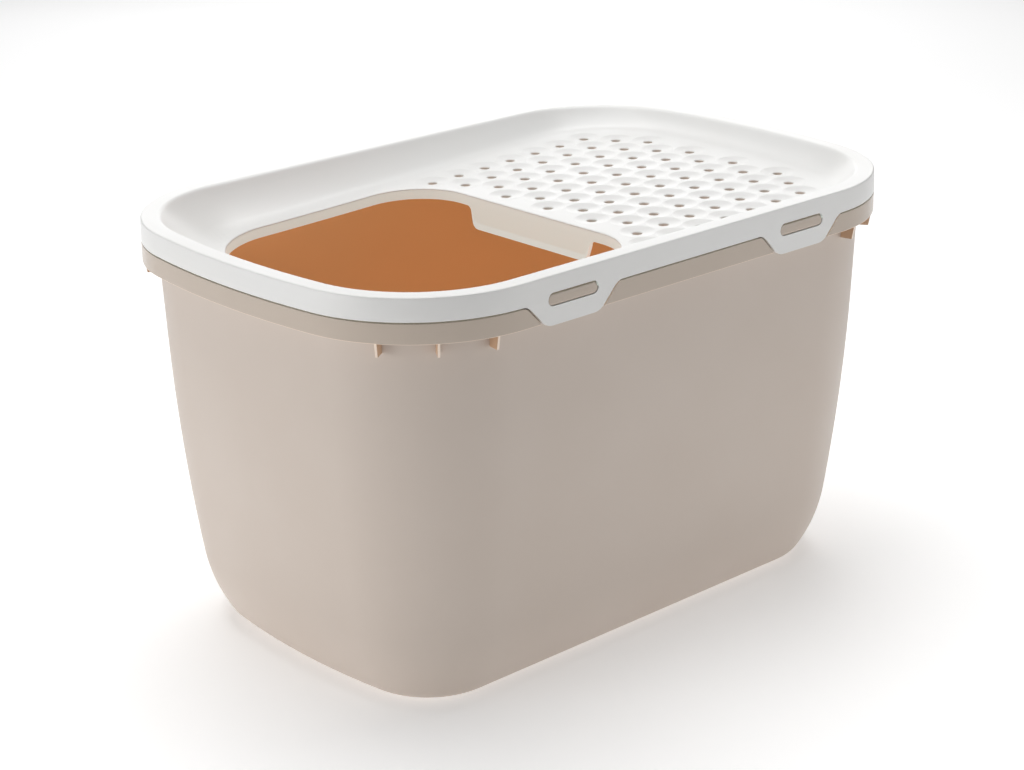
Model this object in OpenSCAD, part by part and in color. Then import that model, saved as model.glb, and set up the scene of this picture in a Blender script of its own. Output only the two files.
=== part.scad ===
// Top entry litter box: a deep tub, a dished lid with an entry opening and a perforated tread,
// and four snap latches that hang from the skirt of the lid.
// The origin is at the middle of the box on the floor, +Z is up, and the entry end is at -X.

/* [Overall] */
// Length over the rim, at the middle of the short sides
body_l = 585; // [540:5:640]
// Width over the rim
body_w = 391; // [370:1:430]
// Height from the floor to the top of the lid
body_h = 343; // [300:1:400]
// Corner radius of the rim in plan
corner_r = 116; // [108:1:126]
// Radius of the slight bow of the short sides
end_bow_r = 700; // [500:10:1200]

/* [Tub wall] */
// Wall thickness of the tub
tub_wall = 2.5; // [1.8:0.1:3.2]
// Thickness of the tub floor
tub_floor = 3; // [2:0.1:5]
// Setback of the wall from the rim outline, at the top
wall_inset = 11.8; // [10.5:0.1:13]
// Draft of the straight upper wall, in degrees
wall_draft = 2.4; // [1.5:0.1:4]
// Radius of the long belly curve below it
belly_r = 1750; // [1200:50:2400]
// Slope at the lower end of the belly, in degrees
belly_slope = 8.5; // [6:0.5:12]
// Radius of the haunch below the belly
haunch_r = 130; // [90:5:170]
// Slope at the lower end of the haunch, in degrees
haunch_slope = 33; // [26:1:40]
// Radius that turns the wall into the base
foot_r = 18; // [12:1:24]
// Width of the ring that the tub stands on
foot_ring_w = 12; // [8:1:18]
// Depth of the recess inside that ring
foot_recess = 1.5; // [1:0.1:2]

/* [Tub rim] */
// Wall thickness of the rim and its band
rim_wall = 2.2; // [1.6:0.1:2.6]
// Running gap between the lid skirt and the rim inside it
rim_gap = 0.7; // [0.5:0.1:1.2]
// Gap under the lid skirt, above the ledge of the band
seam_gap = 1; // [0.3:0.1:1.5]
// Height of the band below the lid skirt
band_h = 16.5; // [12:0.1:20]
// Setback of the band face from the rim outline
band_inset = 1; // [0.6:0.1:1.6]
// Bevel on the inner top edge of the tub wall
lip_bevel = 1.8; // [1.2:0.1:2]

/* [Corner gussets] */
// Gussets under the band at each corner
gussets = 3; // [2:1:3]
// Thickness of a gusset
gusset_t = 1.8; // [1.2:0.1:3]
// How far a gusset hangs below the band
gusset_drop = 11; // [6:0.5:16]
// Angle of the first gusset from the long side, in degrees
gusset_first = 11.25; // [6:0.25:16]
// Angle between gussets, in degrees
gusset_step = 22.5; // [18:0.5:28]
// Taper of the outer edge of a gusset over its drop
gusset_taper = 2; // [0:0.1:4]

/* [Lid] */
// Wall thickness of the lid
lid_wall = 2.5; // [1.8:0.1:3.2]
// Height of the skirt
skirt_h = 17.9; // [16:0.1:22]
// Draft of the skirt, as its setback at the top
skirt_draft = 0.6; // [0.2:0.1:1]
// Radius of the outer top edge
rim_edge_r = 1.2; // [0.8:0.1:4]
// Setback of the inner edge of the flat rim
rim_flat = 13.6; // [13:0.1:17]
// Radius of the inner edge of the rim
dish_edge_r = 4; // [3.5:0.1:6]
// Radius of the hollow side of the dish
dish_r = 98; // [85:1:110]
// Depth at which the side of the dish runs level
dish_depth = 38; // [37:0.5:42]
// Depth of the floor of the dish, at the middle of the tread
floor_drop = 20.8; // [20:0.1:24]
// Fall of the floor towards the entry, in degrees
floor_tilt = 1.95; // [1.5:0.05:2.2]

/* [Entry opening] */
// Length of the opening
entry_l = 237.5; // [200:0.5:240]
// Width of the opening
entry_w = 274; // [240:1:276]
// Corner radius at the outer end
entry_outer_r = 67; // [55:1:80]
// Corner radius beside the tread
entry_inner_r = 52; // [40:1:55]
// Distance from the middle of the box to the edge beside the tread
entry_edge_x = 12.5; // [8:0.5:13]
// Radius of the rolled edge
roll_r = 3; // [2.8:0.1:4]
// Height of the turned-down flange
flange_h = 9; // [6:0.5:14]
// How far the apron hangs below the flange
apron_drop = 18; // [12:0.5:26]
// Half width of the level part of the apron
apron_half = 60; // [45:1:64]
// Slope of the ends of the apron, in degrees
apron_slope = 62; // [50:1:75]
// Radius of the lower corners of the apron
apron_low_r = 8; // [4:0.5:9]
// Radius where the apron runs into the flange
apron_top_r = 6; // [3:0.5:9]

/* [Perforated tread] */
// Middle of the tread, along X
tread_x = 124; // [122:0.5:132]
// Hole pitch along a row
hole_pitch = 30; // [28:0.5:32]
// Distance between rows
row_pitch = 25.7; // [24:0.1:26.5]
// Rows on each side of the middle row
rows_each_side = 5; // [3:1:5]
// Holes in a row
holes_per_row = 7; // [5:1:7]
// Diameter of a hole
hole_d = 8; // [5:0.1:9]
// Radius of the dimple round a hole
dimple_r = 14.5; // [12:0.1:14.7]
// Depth of a dimple
dimple_depth = 1.5; // [0.8:0.1:1.6]

/* [Latches] */
// Distance of each latch from the middle of the box, along X
latch_x = 124; // [110:1:134]
// How far a latch hangs below the skirt
latch_drop = 19.6; // [18:0.1:24]
// Half width of the level part of the lower edge
latch_half = 20.5; // [16:0.5:26]
// Slope of the flanks, in degrees
latch_slope = 47; // [44:1:58]
// Radius of the lower corners
latch_low_r = 14; // [6:0.5:15]
// Radius where the flanks run into the skirt
latch_top_r = 12; // [8:0.5:14]
// Length of the window
window_l = 50; // [36:1:52]
// Height of the window
window_h = 10; // [7:0.5:11]
// Gap round a latch, to the pocket in the band
pocket_gap = 1.2; // [1:0.1:2.5]
// Gap behind a latch, to the floor of its pocket
pocket_back = 1.1; // [0.8:0.1:1.6]
// Gap round the lug that shows in the window
lug_gap = 0.6; // [0.4:0.1:1.2]
// Gap between the lug and the inner face of the latch
lug_back = 0.35; // [0.3:0.05:0.6]

/* [Hidden] */
$fn = 96;
tub_color = "#bfb0a3";
lid_color = "#f1f0ea";

// Plan outline: a bowed arc at each end, tangent to the corner arcs, and straight long sides
half_l = body_l / 2;
half_w = body_w / 2;
corner_y = half_w - corner_r;
end_turn = asin(corner_y / (end_bow_r - corner_r));
end_cx = half_l - end_bow_r;
corner_x = end_cx + (end_bow_r - corner_r) * cos(end_turn);
end_steps = 720;
cut = 1;
dimple_over = 0.1;
lap = 1;
corner_lap = 2 * lap / corner_r * 180 / PI;
end_lap = lap / end_bow_r * 180 / PI;

// Side curve of the tub, from the centres of its three tangent arcs, in setback and height
tub_top = body_h - lid_wall;
foot_cz = foot_r;
haunch_cz = foot_cz + (haunch_r - foot_r) * sin(haunch_slope);
belly_cz = haunch_cz + (belly_r - haunch_r) * sin(belly_slope);
belly_top_z = belly_cz - belly_r * sin(wall_draft);
belly_cp = wall_inset + (tub_top - belly_top_z) * tan(wall_draft) + belly_r * cos(wall_draft);
haunch_cp = belly_cp - (belly_r - haunch_r) * cos(belly_slope);
foot_cp = haunch_cp - (haunch_r - foot_r) * cos(haunch_slope);

// Rim of the tub
rim_inset = lid_wall + rim_gap;
ledge_z = body_h - skirt_h - seam_gap;
band_low_z = body_h - skirt_h - band_h;

// Side curve of the dish, an edge arc tangent to a hollow arc
dish_turn = acos(1 - dish_depth / (dish_r + dish_edge_r));
dish_cp = rim_flat + (dish_r + dish_edge_r) * sin(dish_turn);

// Latches and their pockets
latch_top_z = body_h - skirt_h;
pocket_inset = lid_wall + pocket_back;
lug_inset = lid_wall + lug_back;
latch_end_slope = 18;

// Points on an arc, whose angle a is turned from straight down towards the rim outline
function side_arc(cp, cz, r, a0, a1, steps) =
    [for (i = [0:steps]) let (a = a0 + (a1 - a0) * i / steps) [-(cp - r * cos(a)), cz - r * sin(a)]];

// Side of the tub, moved inwards by t, from the base to the top
function tub_side(t) = concat(
    side_arc(foot_cp, foot_cz, foot_r - t, 90, haunch_slope, 7),
    side_arc(haunch_cp, haunch_cz, haunch_r - t, haunch_slope, belly_slope, 7),
    side_arc(belly_cp, belly_cz, belly_r - t, belly_slope, wall_draft, 6),
    [[-(wall_inset + t / cos(wall_draft)), tub_top]]
);

// Side of the dish, moved outwards by t, from its level bottom to the flat rim, below the lid's top
function dish_side(t) = concat(
    [for (i = [0:10]) let (a = dish_turn * i / 10)
        [-(dish_cp - (dish_r + t) * sin(a)), dish_r - dish_depth - (dish_r + t) * cos(a)]],
    [for (i = [1:5]) let (a = dish_turn * (1 - i / 5))
        [-(rim_flat + (dish_edge_r - t) * sin(a)), (dish_edge_r - t) * cos(a) - dish_edge_r]]
);

// Right half of a hanging tab with S-shaped flanks, from its lower edge up to the line z = 0
function tab_half(half, drop, low_r, top_r, slope, blunt) =
    let (straight = (drop - (low_r + top_r) * (1 - cos(slope))) / sin(slope))
    let (top_x = half + (low_r + top_r) * sin(slope) + straight * cos(slope))
    concat(
        [for (i = [0:6]) let (a = slope * i / 6) [half + low_r * sin(a), low_r * (1 - cos(a)) - drop]],
        [for (i = [0:6]) let (a = slope + (blunt - slope) * i / 6) [top_x - top_r * sin(a), -top_r * (1 - cos(a))]]
    );

function mirrored(points) = [for (i = [len(points) - 1:-1:0]) [-points[i][0], points[i][1]]];

// Hanging tab as an outline, carried up to z = rise
module tab_outline(half, drop, low_r, top_r, slope, blunt, rise) {
    right = tab_half(half, drop, low_r, top_r, slope, blunt);
    edge_x = right[len(right) - 1][0];
    polygon(concat(right, [[edge_x, rise], [-edge_x, rise]], mirrored(right)));
}

// Sweeps a profile, drawn as [-setback, height], round the plan outline. The corners run on into the
// sides by a short lap, where they lie a few micrometres below them.
module around() {
    for (sx = [0, 1], sy = [0, 1])
        mirror([sx, 0, 0])
            mirror([0, sy, 0])
                translate([corner_x, corner_y, 0])
                    rotate([0, 0, end_turn - corner_lap])
                        rotate_extrude(angle = 90 - end_turn + 2 * corner_lap)
                            translate([corner_r, 0])
                                children();
    for (sx = [0, 1])
        mirror([sx, 0, 0])
            translate([end_cx, 0, 0])
                rotate([0, 0, end_lap - end_turn])
                    rotate_extrude(angle = 2 * (end_turn - end_lap), $fn = end_steps)
                        translate([end_bow_r, 0])
                            children();
    for (sy = [0, 1])
        mirror([0, sy, 0])
            translate([lap - corner_x, half_w, 0])
                rotate([90, 0, 90])
                    linear_extrude(2 * (corner_x - lap))
                        children();
}

// Solid inside the plan outline, whose side is a list of points from bottom to top
module plug(side) {
    low = side[0][1];
    high = side[len(side) - 1][1];
    around()
        polygon(concat([[-corner_r, low]], side, [[-corner_r, high]]));
    translate([-(half_l - corner_r + lap), -(corner_y + lap), low])
        cube([2 * (half_l - corner_r + lap), 2 * (corner_y + lap), high - low]);
}

// Mirrored copies at the four latches
module at_latches() {
    for (sx = [0, 1], sy = [0, 1])
        mirror([sx, 0, 0])
            mirror([0, sy, 0])
                translate([latch_x, -half_w, 0])
                    children();
}

// Slot-shaped outline centred on the origin
module slot(length, height) {
    square([length - height, height], center = true);
    for (s = [-1, 1])
        translate([s * (length - height) / 2, 0])
            circle(d = height);
}

// Plate parallel to the long side, from setback p0 to setback p1, drawn in X and Z
module upright(p0, p1) {
    translate([0, p1, 0])
        rotate([90, 0, 0])
            linear_extrude(p1 - p0)
                children();
}

module tub_rim() {
    around()
        polygon([
            [-(wall_inset + lap), tub_top],
            [-rim_inset, tub_top],
            [-rim_inset, ledge_z],
            [-band_inset, ledge_z],
            [-band_inset, band_low_z],
            [-(band_inset + rim_wall), band_low_z],
            [-(band_inset + rim_wall), ledge_z - rim_wall],
            [-(rim_inset + rim_wall), ledge_z - rim_wall],
            [-(rim_inset + rim_wall), tub_top - rim_wall],
            [-(wall_inset + lap), tub_top - rim_wall]
        ]);
}

module gusset() {
    outer = corner_r - band_inset - rim_wall / 2;
    inner = corner_r - wall_inset - tub_wall / 2 - lap;
    rotate([90, 0, 0])
        linear_extrude(gusset_t, center = true)
            polygon([
                [inner, band_low_z - gusset_drop],
                [outer - gusset_taper, band_low_z - gusset_drop],
                [outer, band_low_z],
                [outer, ledge_z - rim_wall / 2],
                [corner_r - rim_inset - rim_wall / 2, ledge_z - rim_wall / 2],
                [corner_r - rim_inset - rim_wall / 2, tub_top - rim_wall / 2],
                [inner, tub_top - rim_wall / 2]
            ]);
}

module corner_gussets() {
    for (sx = [0, 1], sy = [0, 1])
        mirror([sx, 0, 0])
            mirror([0, sy, 0])
                for (i = [0:gussets - 1])
                    translate([corner_x, corner_y, 0])
                        rotate([0, 0, 90 - gusset_first - i * gusset_step])
                            gusset();
}

// Thickened wall behind each latch, which the pocket is sunk into
module pocket_backing() {
    half = tab_half(latch_half, latch_drop, latch_low_r, latch_top_r, latch_slope, 0);
    reach = half[len(half) - 1][0] + pocket_gap + rim_wall;
    at_latches()
        translate([-reach, band_inset + rim_wall / 2, band_low_z])
            cube([2 * reach, pocket_inset - band_inset + rim_wall / 2, ledge_z - band_low_z]);
}

module pockets() {
    at_latches()
        translate([0, 0, latch_top_z])
            upright(-cut, pocket_inset)
                tab_outline(latch_half, latch_drop + pocket_gap, latch_low_r, latch_top_r, latch_slope, 0, 0);
    at_latches()
        for (s = [-1, 1])
            translate([s * pocket_gap, 0, latch_top_z])
                upright(-cut, pocket_inset)
                    tab_outline(latch_half, latch_drop + pocket_gap, latch_low_r, latch_top_r, latch_slope, 0, 0);
}

module lugs() {
    at_latches()
        translate([0, 0, latch_top_z])
            upright(lug_inset, pocket_inset + rim_wall / 2)
                slot(window_l - 2 * lug_gap, window_h - 2 * lug_gap);
}

module tub() {
    color(tub_color) {
        difference() {
            union() {
                plug(tub_side(0));
                tub_rim();
                corner_gussets();
                pocket_backing();
            }
            difference() {
                plug(concat(tub_side(tub_wall), [[-(wall_inset + tub_wall), body_h]]));
                translate([-half_l, -half_w, 0])
                    cube([body_l, body_w, tub_floor]);
            }
            around()
                polygon([
                    [-corner_r, tub_top + cut],
                    [-(wall_inset + tub_wall - lip_bevel - cut), tub_top + cut],
                    [-(wall_inset + tub_wall + cut), tub_top - lip_bevel - cut],
                    [-corner_r, tub_top - lip_bevel - cut]
                ]);
            plug([[-(foot_cp + foot_ring_w), -cut], [-(foot_cp + foot_ring_w), foot_recess]]);
            pockets();
        }
        lugs();
    }
}

// Frame of the tilted floor: the origin is on the floor at the middle of the tread
module on_floor() {
    translate([tread_x, 0, body_h - floor_drop])
        rotate([0, -floor_tilt, 0])
            children();
}

// Everything above a plane parallel to the floor
module above_floor(h) {
    on_floor()
        translate([-2 * body_l, -body_w, h])
            cube([4 * body_l, 2 * body_w, body_h]);
}

// Sweeps a profile, drawn as [distance outside the edge, height], round the entry opening
module around_entry() {
    x0 = entry_edge_x - entry_l - tread_x;
    x1 = entry_edge_x - tread_x;
    y = entry_w / 2;
    for (sy = [0, 1])
        mirror([0, sy, 0]) {
            translate([x1 - entry_inner_r, y - entry_inner_r, 0])
                rotate_extrude(angle = 90)
                    translate([entry_inner_r, 0])
                        children();
            translate([x0 + entry_outer_r, y - entry_outer_r, 0])
                rotate([0, 0, 90])
                    rotate_extrude(angle = 90)
                        translate([entry_outer_r, 0])
                            children();
            translate([x0 + entry_outer_r, y, 0])
                rotate([90, 0, 90])
                    linear_extrude(entry_l - entry_outer_r - entry_inner_r)
                        children();
        }
    translate([x1, -(y - entry_inner_r), 0])
        rotate([90, 0, 0])
            mirror([0, 0, 1])
                linear_extrude(entry_w - 2 * entry_inner_r)
                    children();
    translate([x0, -(y - entry_outer_r), 0])
        rotate([90, 0, 0])
            mirror([0, 0, 1])
                linear_extrude(entry_w - 2 * entry_outer_r)
                    mirror([1, 0])
                        children();
}

// Outline of the opening, moved outwards by g
module entry_outline(g) {
    x0 = entry_edge_x - entry_l - tread_x;
    x1 = entry_edge_x - tread_x;
    y = entry_w / 2;
    turn = [for (i = [0:24]) 90 * i / 24];
    inner = [for (a = turn) [
        x1 - entry_inner_r + (entry_inner_r + g) * sin(a),
        entry_inner_r - y - (entry_inner_r + g) * cos(a)
    ]];
    outer = [for (a = turn) [
        x0 + entry_outer_r - (entry_outer_r + g) * cos(a),
        entry_outer_r - y - (entry_outer_r + g) * sin(a)
    ]];
    half = concat(outer, inner);
    polygon(concat(half, [for (i = [len(half) - 1:-1:0]) [half[i][0], -half[i][1]]]));
}

// Rolled edge and turned-down flange of the opening
module entry_flange() {
    on_floor()
        around_entry()
            polygon(concat(
                [[lid_wall, -flange_h], [0, -flange_h]],
                [for (i = [0:6]) let (a = 90 * i / 6) [roll_r * (1 - cos(a)), roll_r * (sin(a) - 1)]],
                [[roll_r + cut, 0], [roll_r + cut, -lid_wall], [lid_wall, -lid_wall]]
            ));
}

// Apron that hangs from the flange beside the tread
module entry_apron() {
    on_floor()
        translate([entry_edge_x - tread_x, 0, -flange_h])
            rotate([90, 0, 90])
                linear_extrude(lid_wall)
                    tab_outline(apron_half, apron_drop, apron_low_r, apron_top_r, apron_slope, 0, cut);
}

// Places of the holes: the rows alternate, and the outermost rows are shifted towards the entry
function first_hole(j) =
    abs(j) % 2 == 0 ? 1 - holes_per_row :
    abs(j) == rows_each_side ? -holes_per_row : 2 - holes_per_row;

module at_holes() {
    on_floor()
        for (j = [-rows_each_side:rows_each_side], i = [0:holes_per_row - 1])
            translate([(first_hole(j) / 2 + i) * hole_pitch, j * row_pitch, 0])
                children();
}

// Hole with the hollow dimple round it, as one turned cutter that starts below the lid and ends above it
module hole_and_dimple() {
    ball_r = (dimple_r * dimple_r + dimple_depth * dimple_depth) / (2 * dimple_depth);
    out_r = dimple_r + dimple_over;
    rotate_extrude()
        polygon(concat(
            [[0, -2 * lid_wall], [hole_d / 2, -2 * lid_wall]],
            [for (i = [0:4]) let (r = hole_d / 2 + (out_r - hole_d / 2) * i / 4)
                [r, ball_r - dimple_depth - sqrt(ball_r * ball_r - r * r)]],
            [[0, ball_r - dimple_depth - sqrt(ball_r * ball_r - out_r * out_r)]]
        ));
}

module lid_rim() {
    top_p = skirt_draft + rim_edge_r;
    around()
        polygon(concat(
            [[-lid_wall, body_h - skirt_h], [0, body_h - skirt_h]],
            [for (i = [0:6]) let (a = 90 * i / 6)
                [rim_edge_r * cos(a) - top_p, body_h - rim_edge_r + rim_edge_r * sin(a)]],
            [[-(rim_flat + cut), body_h], [-(rim_flat + cut), body_h - lid_wall]],
            [[-(skirt_draft + lid_wall), body_h - lid_wall]]
        ));
}

module window_cut() {
    at_latches()
        translate([0, 0, latch_top_z])
            upright(-cut, lid_wall + cut)
                slot(window_l, window_h);
}

module raised(points, z) {
    plug([for (p = points) [p[0], p[1] + z]]);
}

module lid() {
    color(lid_color)
        difference() {
            union() {
                difference() {
                    union() {
                        lid_rim();
                        intersection() {
                            raised(concat(dish_side(lid_wall), [[-rim_flat, -cut]]), body_h);
                            above_floor(-lid_wall);
                        }
                    }
                    intersection() {
                        raised(concat(dish_side(0), [[-rim_flat, cut]]), body_h);
                        above_floor(0);
                    }
                    on_floor()
                        translate([0, 0, -body_h / 4])
                            linear_extrude(body_h / 2)
                                entry_outline(roll_r);
                }
                entry_flange();
                entry_apron();
            }
            at_holes()
                hole_and_dimple();
            window_cut();
        }
}

// Latch below the skirt, with the lower half of the window
module latch(sx, sy) {
    color(lid_color)
        mirror([sx, 0, 0])
            mirror([0, sy, 0])
                translate([latch_x, -half_w, latch_top_z])
                    upright(0, lid_wall)
                        difference() {
                            tab_outline(
                                latch_half, latch_drop, latch_low_r, latch_top_r, latch_slope, latch_end_slope, 0
                            );
                            slot(window_l, window_h);
                        }
}

module latch_front_left() { latch(1, 0); }
module latch_front_right() { latch(0, 0); }
module latch_rear_left() { latch(1, 1); }
module latch_rear_right() { latch(0, 1); }

tub();
lid();
latch_front_left();
latch_front_right();
latch_rear_left();
latch_rear_right();
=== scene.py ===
from math import acos, asin, atan2, cos, pi, radians, sin, sqrt, tan

import bmesh
import bpy
from mathutils import Matrix, Vector


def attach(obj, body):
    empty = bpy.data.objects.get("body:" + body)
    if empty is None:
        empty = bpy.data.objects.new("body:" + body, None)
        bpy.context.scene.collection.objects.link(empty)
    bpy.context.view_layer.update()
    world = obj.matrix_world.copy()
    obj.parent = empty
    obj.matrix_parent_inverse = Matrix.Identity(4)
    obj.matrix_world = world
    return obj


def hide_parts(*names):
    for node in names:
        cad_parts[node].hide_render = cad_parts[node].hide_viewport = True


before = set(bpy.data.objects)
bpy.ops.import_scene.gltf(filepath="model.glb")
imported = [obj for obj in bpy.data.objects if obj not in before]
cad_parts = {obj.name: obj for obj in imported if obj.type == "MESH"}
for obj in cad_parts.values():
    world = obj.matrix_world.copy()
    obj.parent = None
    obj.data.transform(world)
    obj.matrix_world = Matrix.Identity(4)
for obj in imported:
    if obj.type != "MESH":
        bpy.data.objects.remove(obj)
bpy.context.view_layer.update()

# Every length below is in millimetres, in the CAD's own frame, until a piece is finished, apart
# from those in the studio and in the materials that are said to be in metres.
MM = 0.001
UP = Vector((0, 0, 1))

# ---- Camera and studio ----

# Azimuth, elevation and roll in degrees, fitted to the object's outlines in the photograph
PHOTO_ANGLES = (-42.0403, 20.1616, -0.9055)
PHOTO_TARGET, PHOTO_DISTANCE = (-6.273, 3.129, 172.476), 1946.58
PHOTO_LENS_PX, PHOTO_W_PX, SENSOR_W = 2337.80, 1024, 36
# Point that the softboxes face, and half the side of the floor, in metres
LIT_POINT, FLOOR_HALF = Vector((0, 0, 0.2)), 30


def photo_camera():
    """Camera at the photograph's viewing angle: azimuth, elevation, a slight roll, and the lens."""
    azimuth, elevation, roll = (radians(a) for a in PHOTO_ANGLES)
    target = Vector(PHOTO_TARGET) * MM
    back = Vector((sin(azimuth) * cos(elevation), -cos(azimuth) * cos(elevation), sin(elevation)))
    right = (-back).cross(UP).normalized()
    up = right.cross(-back)
    right, up = right * cos(roll) + up * sin(roll), up * cos(roll) - right * sin(roll)
    data = bpy.data.cameras.new("photo_camera")
    data.sensor_width = SENSOR_W
    data.lens = PHOTO_LENS_PX * SENSOR_W / PHOTO_W_PX
    data.clip_end = 100
    camera = bpy.data.objects.new("photo_camera", data)
    bpy.context.scene.collection.objects.link(camera)
    turn = Matrix((right, up, back)).transposed().to_4x4()
    camera.matrix_world = Matrix.Translation(target + back * PHOTO_DISTANCE * MM) @ turn
    bpy.context.scene.camera = camera


def linear(hex_colour):
    """Turns an sRGB hex colour into the linear colour that the shaders work in."""
    parts = [int(hex_colour[i:i + 2], 16) / 255 for i in (1, 3, 5)]
    return [c / 12.92 if c <= 0.04045 else ((c + 0.055) / 1.055) ** 2.4 for c in parts] + [1]


def add(tree, kind, inputs=None, **settings):
    """Adds a node with its settings, and its inputs as values or links."""
    node = tree.nodes.new(kind)
    for name, value in settings.items():
        setattr(node, name, value)
    for name, value in (inputs or {}).items():
        if isinstance(value, bpy.types.NodeSocket):
            tree.links.new(value, node.inputs[name])
        else:
            node.inputs[name].default_value = value
    return node


def new_material(name):
    """Material with an empty node tree, and that tree."""
    material = bpy.data.materials.new(name)
    material.use_nodes = True
    material.node_tree.nodes.clear()
    return material, material.node_tree


def softbox(name, place, size, power):
    """White rectangular light that faces the middle of the box: metres, and power in watts."""
    light = bpy.data.lights.new(name, "AREA")
    light.shape = "RECTANGLE"
    light.size, light.size_y = size
    light.energy = power
    obj = bpy.data.objects.new(name, light)
    obj.location = place
    obj.rotation_euler = (LIT_POINT - Vector(place)).to_track_quat("-Z", "Y").to_euler()
    bpy.context.scene.collection.objects.link(obj)


def studio():
    """Plain pale floor, soft white surroundings and large softboxes."""
    world = bpy.data.worlds.new("studio")
    world.use_nodes = True
    surroundings = world.node_tree.nodes["Background"]
    surroundings.inputs["Color"].default_value = linear("#fbfbfc")
    surroundings.inputs["Strength"].default_value = 0.05
    bpy.context.scene.world = world
    bpy.context.scene.view_settings.view_transform = "Standard"

    softbox("softbox_above", (0.17, 0.4, 2.4), (2.0, 2.0), 50)
    softbox("softbox_entry_end", (-2.4, 0.6, 0.45), (1.6, 0.9), 17)
    softbox("softbox_front", (1.4, -2.2, 0.4), (1.8, 0.8), 9)
    softbox("softbox_rear", (1.8, 2.1, 1.0), (2.2, 1.1), 13)

    # White paper that is lit from behind a little, so that it comes out almost white
    material, tree = new_material("studio_floor_pale_paper")
    shader = add(tree, "ShaderNodeBsdfPrincipled", {
        "Base Color": linear("#fafafa"), "Roughness": 0.9, "Specular IOR Level": 0.1,
        "Emission Color": linear("#ffffff"), "Emission Strength": 0.36})
    add(tree, "ShaderNodeOutputMaterial", {"Surface": shader.outputs[0]})
    bm = bmesh.new()
    bmesh.ops.create_grid(bm, x_segments=1, y_segments=1, size=FLOOR_HALF)
    mesh = bpy.data.meshes.new("studio_floor")
    bm.to_mesh(mesh)
    bm.free()
    mesh.materials.append(material)
    floor = bpy.data.objects.new("studio_floor", mesh)
    bpy.context.scene.collection.objects.link(floor)


# ---- Materials ----

POLYPROPYLENE_IOR = 1.49
# In metres: how far apart the melt's clouds and its specks lie, and how deep the mould's grain is
CLOUD_SIZE, SPECK_SPACING, GRAIN_DEPTH = 0.09, 0.115, 0.00005
# Full and faded radius of a speck, as shares of that spacing: about 0.5 and 1 mm
SPECK_CORE, SPECK_FADE = 0.004, 0.009


def moulded_plastic(name, colour, tint, roughness, spread, bump, grain_mm, specks=None,
                    glow=None, light=0.0):
    """Injection-moulded polypropylene. The melt leaves a cloudy change of tone over several
    centimetres, and the mould's own surface leaves a fine grain that breaks up the gloss.
    A glow, where given, is painted light: an emission that stands in for light coming through the
    plastic."""
    material, tree = new_material(name)
    place = add(tree, "ShaderNodeTexCoord").outputs["Object"]
    cloud = add(tree, "ShaderNodeTexNoise", {
        "Vector": place, "Scale": 1 / CLOUD_SIZE, "Detail": 3.0, "Roughness": 0.45})
    tone = add(tree, "ShaderNodeMix", {
        "Factor": cloud.outputs["Fac"], "A": linear(colour), "B": linear(tint)},
        data_type="RGBA")
    paint = tone.outputs["Result"]
    if specks:
        # Rare dark specks in the melt, drawn about 1.5 mm wide so that they show
        cells = add(tree, "ShaderNodeTexVoronoi", {"Vector": place, "Scale": 1 / SPECK_SPACING})
        dot = add(tree, "ShaderNodeMapRange", {
            "Value": cells.outputs["Distance"], "From Min": SPECK_CORE, "From Max": SPECK_FADE,
            "To Min": 0.55, "To Max": 0.0})
        paint = add(tree, "ShaderNodeMix", {
            "Factor": dot.outputs["Result"], "A": paint, "B": linear(specks)},
            data_type="RGBA").outputs["Result"]
    grain = add(tree, "ShaderNodeTexNoise", {
        "Vector": place, "Scale": 1000 / grain_mm, "Detail": 2.0, "Roughness": 0.6})
    dull = add(tree, "ShaderNodeMapRange", {
        "Value": cloud.outputs["Fac"], "From Min": 0.3, "From Max": 0.7,
        "To Min": roughness - spread, "To Max": roughness + spread})
    relief = add(tree, "ShaderNodeBump", {
        "Strength": bump, "Distance": GRAIN_DEPTH, "Height": grain.outputs["Fac"]})
    shader = add(tree, "ShaderNodeBsdfPrincipled", {
        "Base Color": paint, "Roughness": dull.outputs["Result"], "IOR": POLYPROPYLENE_IOR,
        "Normal": relief.outputs["Normal"]})
    # Painted glow: an emission that stands in for light coming through the plastic
    if glow:
        shader.inputs["Emission Color"].default_value = linear(glow)
        shader.inputs["Emission Strength"].default_value = light
    add(tree, "ShaderNodeOutputMaterial", {"Surface": shader.outputs[0]})
    return material


# White polypropylene from a polished mould: clean white with a soft gloss
LID_WHITE = moulded_plastic(
    "white_polypropylene_polished_mould", "#f5f5f4", "#f1f0ed", 0.3, 0.02, 0.12, 0.9)
# The same white at the flange, the apron and the skirt's edge, darker, with a painted glow that
# stands in for light coming through
LID_PAINTED_GLOW = moulded_plastic(
    "white_polypropylene_painted_glow_edge", "#dedcd8", "#dad8d4", 0.3, 0.02, 0.1, 0.9,
    glow="#ecfcf6", light=0.36)
# The same white down in the holes, darker as painted shade, with a weak painted glow
LID_HOLE_PAINTED_SHADE = moulded_plastic(
    "white_polypropylene_hole_wall_painted_shade", "#d6d3cd", "#d2cfc8", 0.3, 0.02, 0.1, 0.9,
    glow="#f2f8f4", light=0.13)
# The same white at the thin lower edges of the flange and the apron, with a painted glow as a
# highlight
LID_EDGE_PAINTED_HIGHLIGHT = moulded_plastic(
    "white_polypropylene_painted_highlight_edge", "#eceae6", "#e8e6e2", 0.3, 0.02, 0.1, 0.9,
    glow="#f4fbf8", light=0.4)
# Beige polypropylene from a spark-eroded mould: an even satin that hardly mirrors
TUB_SATIN = moulded_plastic(
    "beige_polypropylene_satin_mould", "#d6c9be", "#d2c4b8", 0.42, 0.04, 0.5, 0.7, "#8d7a68")
# The same beige from a polished part of the mould: the rim band is glossier than the wall
TUB_BAND = moulded_plastic(
    "beige_polypropylene_polished_band", "#cec0b2", "#c8b9aa", 0.22, 0.03, 0.15, 1.2)
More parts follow.
